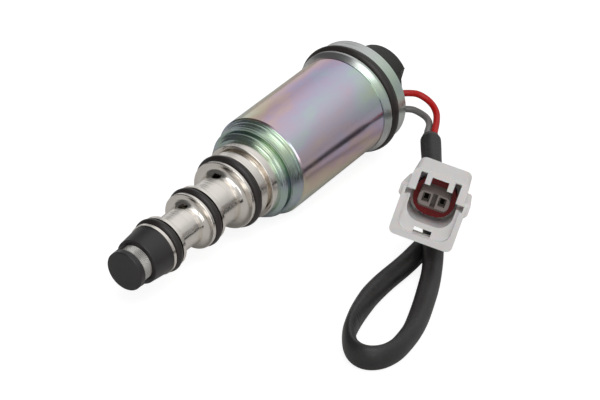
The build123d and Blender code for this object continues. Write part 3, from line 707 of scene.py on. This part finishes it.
wire = {
    "radius": 0.92,
    "steps": 12,
    "bevelSteps": 5,
    # in the rear cap's boss
    "exitSide": 11.27,
    "exitDepth": 3.0,
    "exitAngle": 39.0,
    "exitStraight": 2.6,
    # inside the sleeve: distance from its middle, and the shares of its length where the pair
    # turns by a quarter
    "spread": 0.97,
    "quarterTurns": ((0.1, 0.45), (0.8, 1.0)),
}
wires = {
    "redWire": {
        "lift": 1.3,
        "points": [
            (14.8, 55.4, 16.7), (18.4, 55.7, 15.2), (21.5, 53.8, 13.9), (23.8, 50.1, 13.1),
            (25.6, 46.1, 12.5),
        ],
        "phase": 0.0,
        "endPoints": [(46.5, 22.4, 2.8), (45.9, 25.9, 4.9), (45.2, 27.4, 8.4), (44.6, 26.6, 12.0)],
        "plugSide": 1,
        "finish": "redInsulation",
        "slot": "red_insulation",
        "replaced": ("red_lead", "red_lead_end"),
    },
    "greyWire": {
        "lift": -3.7,
        "points": [
            (15.6, 53.7, 12.3), (18.4, 53.1, 12.0), (20.7, 51.3, 12.0), (22.6, 48.5, 12.4),
            (24.0, 45.0, 12.4),
        ],
        "phase": math.pi,
        "endPoints": [(44.7, 21.2, 2.8), (43.8, 24.5, 4.9), (42.6, 26.1, 8.8), (41.4, 25.4, 12.9)],
        "plugSide": -1,
        "finish": "greyInsulation",
        "slot": "grey_insulation",
        "replaced": ("grey_lead", "grey_lead_end"),
    },
}
plug = {
    "heading": 28.2,
    "pitch": 16.5,
    "roll": 16.6,
    "rear": 20.4,
    "contactPitch": 4.2,
    "endStraight": 4.0,
}


def plugAxes():
    # side and mate directions of the connector, from its heading, pitch and roll
    h, p, r = (math.radians(plug[key]) for key in ("heading", "pitch", "roll"))
    mate = np.array([math.cos(p) * math.sin(h), -math.cos(p) * math.cos(h), math.sin(p)])
    level = np.array([math.cos(h), math.sin(h), 0.0])
    rise = np.cross(mate, level)
    side = level * math.cos(r) - rise * math.sin(r)
    return side, mate


def valvePoint(side, lift, height):
    # metres, from millimetres across, up and along the valve
    return datum + (across * side + upward * lift + toNose * height) * mm


def nurbsObject(name, points, steps):
    # one open spline with these points as its control points
    curve = bpy.data.curves.new(name, "CURVE")
    curve.dimensions = "3D"
    spline = curve.splines.new("NURBS")
    spline.points.add(len(points) - 1)
    packed = np.column_stack([np.asarray(points), np.ones(len(points))])
    spline.points.foreach_set("co", packed.ravel())
    spline.order_u = 3
    spline.use_endpoint_u = True
    spline.resolution_u = steps
    curve.resolution_u = steps
    piece = bpy.data.objects.new(name, curve)
    bpy.context.scene.collection.objects.link(piece)
    return piece


def centreline(points, steps):
    # points along the route's spline, read from a curve with no bevel
    carrier = nurbsObject("route", points, steps)
    bpy.context.view_layer.update()
    mesh = bpy.data.meshes.new_from_object(carrier)
    line = np.zeros(len(mesh.vertices) * 3)
    mesh.vertices.foreach_get("co", line)
    bpy.data.objects.remove(carrier)
    bpy.data.meshes.remove(mesh)
    return line.reshape(-1, 3)


def distances(line):
    # distance from the start at each point of a line
    return np.concatenate([[0.0], np.cumsum(np.linalg.norm(np.diff(line, axis=0), axis=1))])


def unit(rows):
    return rows / np.linalg.norm(rows, axis=1)[:, None]


def smoothStep(value, low, high):
    # 0 below low, 1 above high, 3 t^2 - 2 t^3 between them
    t = np.clip((value - low) / (high - low), 0, 1)
    return t * t * (3 - 2 * t)


def bell(share, peak, width):
    return np.exp(-(((share - peak) / width) ** 2))


def flattening(share):
    # a bell that falls away faster after its peak than before it
    peak = sleeve["flatPeak"]
    width = np.where(share < peak, sleeve["flatBefore"], sleeve["flatAfter"])
    return bell(share, peak, width)


def makeSleeve():
    # section at distance d: (w cos a, h sin a), with w smaller and h larger as the flattening
    # bell rises, both smaller near the ends, and both a little uneven along the length;
    # creases on the inside of the turn take depth * bell * (1 + cos(2 pi d / pitch + shift * sin
    # (rate * d))) / 2 off them, so their spacing is uneven;
    # the outer wall runs from one end to the other and the inner wall back again
    line = centreline(np.array(sleeve["points"]) * mm, sleeve["steps"])
    travelled = distances(line) / mm
    share = travelled / travelled[-1]
    radius = sleeve["radius"]
    flat = flattening(share)
    toEnd = np.minimum(travelled, travelled[-1] - travelled)
    end = 1 - smoothStep(toEnd, 0, sleeve["endLength"])
    longSway = np.sin(travelled / sleeve["longWave"] + sleeve["longStart"])
    shortSway = sleeve["shortShare"] * np.sin(travelled / sleeve["shortWave"])
    sway = sleeve["uneven"] * (longSway + shortSway)
    wide = (radius * (1 - sleeve["flatNarrow"] * flat) + sway) * (1 - sleeve["endNarrow"] * end)
    high = (radius * (1 + sleeve["flatTall"] * flat) - sway) * (1 - sleeve["endLow"] * end)
    tangent = unit(np.gradient(line, axis=0))
    side = unit(np.cross(tangent, vertical))
    rise = np.cross(side, tangent)
    lift = (radius * sleeve["flatTall"] * flat - sway) * mm
    centre = line + vertical * lift[:, None]
    angle = np.linspace(0, 2 * math.pi, sleeve["around"], endpoint=False)
    shift = sleeve["creaseShift"] * np.sin(sleeve["creaseRate"] * travelled)
    wave = (1 + np.cos(2 * math.pi * travelled / sleeve["creasePitch"] + shift)) / 2
    creased = bell(share, sleeve["creasePlace"], sleeve["creaseSpan"]) * wave
    level, upright = sleeve["creaseToward"]
    inside = np.clip(level * np.cos(angle) + upright * np.sin(angle), 0, 1) ** 2
    crease = sleeve["creaseDepth"] * creased[:, None] * inside[None, :]

    def wall(depth):
        inset = depth * (1 - sleeve["endThin"] * end)
        sideways = ((wide - inset)[:, None] - crease) * np.cos(angle)
        upwards = ((high - inset)[:, None] - crease) * np.sin(angle)
        section = sideways[..., None] * side[:, None] + upwards[..., None] * rise[:, None]
        return centre[:, None] + section * mm

    grid = np.concatenate([wall(0.0), wall(sleeve["wall"])[::-1]])
    piece = finishPiece("leadSleeve", gridMesh("leadSleeve", grid), "sleeve")
    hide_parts("lead_sleeve")
    print("sleeve length", round(float(distances(centre)[-1]), 4))


def innerRoute(phase):
    # a wire's points inside the sleeve, beside its middle: the pair lies flat at first,
    # stands upright through the turn and ends half a turn round
    route = np.array(sleeve["points"])
    share = distances(route) / distances(route)[-1]
    side = unit(np.cross(vertical, np.gradient(route, axis=0)))
    quarters = sum(smoothStep(share, *ends) for ends in wire["quarterTurns"])
    turn = phase + math.pi / 2 * quarters
    beside = side * np.cos(turn)[:, None] + vertical * np.sin(turn)[:, None]
    lift = sleeve["radius"] * sleeve["flatTall"] * flattening(share)
    return (route + vertical * lift[:, None] + beside * wire["spread"])[1:]


def makeWire(name, values):
    side, mate = plugAxes()
    face = np.array(mounts["connector_socket"]["pos_m"])
    turn = math.radians(wire["exitAngle"])
    leave = across * math.cos(turn) - toNose * math.sin(turn)
    start = valvePoint(wire["exitSide"], values["lift"], -wire["exitDepth"])
    plugSide = values["plugSide"] * plug["contactPitch"] / 2
    seat = face + (side * plugSide - mate * plug["rear"]) * mm
    before = seat - mate * plug["endStraight"] * mm
    route = np.vstack([
        start,
        start + leave * wire["exitStraight"] * mm,
        np.array(values["points"]) * mm,
        innerRoute(values["phase"]) * mm,
        np.array(values["endPoints"]) * mm,
        before,
        seat,
    ])
    piece = nurbsObject(name, route, wire["steps"])
    piece.data.bevel_depth = wire["radius"] * mm
    piece.data.bevel_resolution = wire["bevelSteps"]
    piece.data.use_fill_caps = True
    piece.data.materials.append(finishes[values["finish"]])
    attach(piece, fixedBody)
    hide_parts(*values["replaced"])
    print(name, "length", round(float(distances(centreline(route, wire["steps"]))[-1]), 4))


makeSleeve()
for wireName, wireValues in wires.items():
    makeWire(wireName, wireValues)
print("lead made")


# Woven strainer, in mm
strainer = {
    "rear": 97.1,
    "front": 101.0,
    "radius": 4.72,
    "pitch": 0.36,
    "wireRadius": 0.085,
    "wave": 0.07,
    "steps": 4,
    "around": 6,
}


def makeStrainerMesh():
    # wires along the axis wave in and out with cos(pi (h / pitch + i)), and hoops the other way;
    # the wires' number is even, so that neighbours wave apart all the way round
    rear = strainer["rear"]
    pitch = strainer["pitch"]
    radius = strainer["radius"]
    thick = strainer["wireRadius"]
    steps = strainer["steps"]
    count = 2 * round(math.pi * radius / pitch)
    hoops = int((strainer["front"] - rear) / pitch)
    ringAngle = np.linspace(0, 2 * math.pi, strainer["around"], endpoint=False)
    heights = np.linspace(rear, strainer["front"], hoops * steps + 1)
    number = np.arange(count)[:, None]
    wave = strainer["wave"] * np.cos(math.pi * ((heights[None, :] - rear) / pitch + number))

    def strands(angles, radii, heightsAt):
        outward = across * np.cos(angles)[..., None] + upward * np.sin(angles)[..., None]
        return datum + (outward * radii[..., None] + toNose * heightsAt[..., None]) * mm

    turns = number[:, :, None] * 2 * math.pi / count
    warpAngle = turns + np.sin(ringAngle) * thick / radius
    warpRadius = radius + wave[:, :, None] + np.cos(ringAngle) * thick
    warp = strands(warpAngle, warpRadius, heights[None, :, None])
    hoopTurns = np.linspace(0, 2 * math.pi, count * steps, endpoint=False)[None, :, None]
    hoop = np.arange(hoops)[:, None, None]
    hoopWave = -strainer["wave"] * np.cos(hoopTurns * count / 2 + math.pi * hoop)
    hoopRadius = radius + hoopWave + np.cos(ringAngle) * thick
    weft = strands(hoopTurns, hoopRadius, rear + (hoop + 0.5) * pitch + np.sin(ringAngle) * thick)
    joined = bmesh.new()
    for family, closed in ((warp, False), (weft, True)):
        for strand in family:
            mesh = gridMesh("strand", strand, closedRows=closed)
            joined.from_mesh(mesh)
            bpy.data.meshes.remove(mesh)
    bmesh.ops.holes_fill(joined, edges=[edge for edge in joined.edges if edge.is_boundary])
    mesh = bpy.data.meshes.new("strainerMesh")
    joined.to_mesh(mesh)
    joined.free()
    piece = finishPiece("strainerMesh", mesh, "meshWire")
    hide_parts("strainer_mesh")


makeStrainerMesh()
print("strainer woven")


# Return spring, in mm, drawn at one length; the real one shortens as the valve closes
spring = {
    "rear": 19.3,
    "front": 24.1,
    "radius": 2.6,
    "wireRadius": 0.25,
    "pitch": 1.1,
    "stepsPerRadian": 6,
    "around": 12,
    "endShare": 0.02,
}


def makeSpring():
    # the wire's middle at turn a is radius (cos a, sin a) round the axis, at a height that grows
    # by pitch a / 2 pi; its section is a circle, and a last ring of nearly no size closes each end
    thick = spring["wireRadius"]
    climb = spring["pitch"] / (2 * math.pi)
    whole = (spring["front"] - spring["rear"] - 2 * thick) / climb
    steps = round(whole * spring["stepsPerRadian"])
    turn = np.concatenate([[0.0], np.linspace(0, whole, steps), [whole]])[:, None]
    closing = [spring["endShare"]]
    reach = np.concatenate([closing, np.ones(steps), closing])[:, None, None] * thick
    outward = across * np.cos(turn) + upward * np.sin(turn)
    forward = upward * np.cos(turn) - across * np.sin(turn)
    rise = unit(toNose * spring["radius"] - forward * climb)
    middle = outward * spring["radius"] + toNose * (spring["rear"] + thick + climb * turn)
    ring = np.linspace(0, 2 * math.pi, spring["around"], endpoint=False)[None, :, None]
    section = outward[:, None] * np.cos(ring) + rise[:, None] * np.sin(ring)
    grid = datum + (middle[:, None] + section * reach) * mm
    mesh = gridMesh("returnSpring", grid, closedRows=False)
    piece = finishPiece("returnSpring", mesh, "steel", bodyName=None)
    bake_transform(piece)
    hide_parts("plunger_spring")


makeSpring()
print("spring wound")
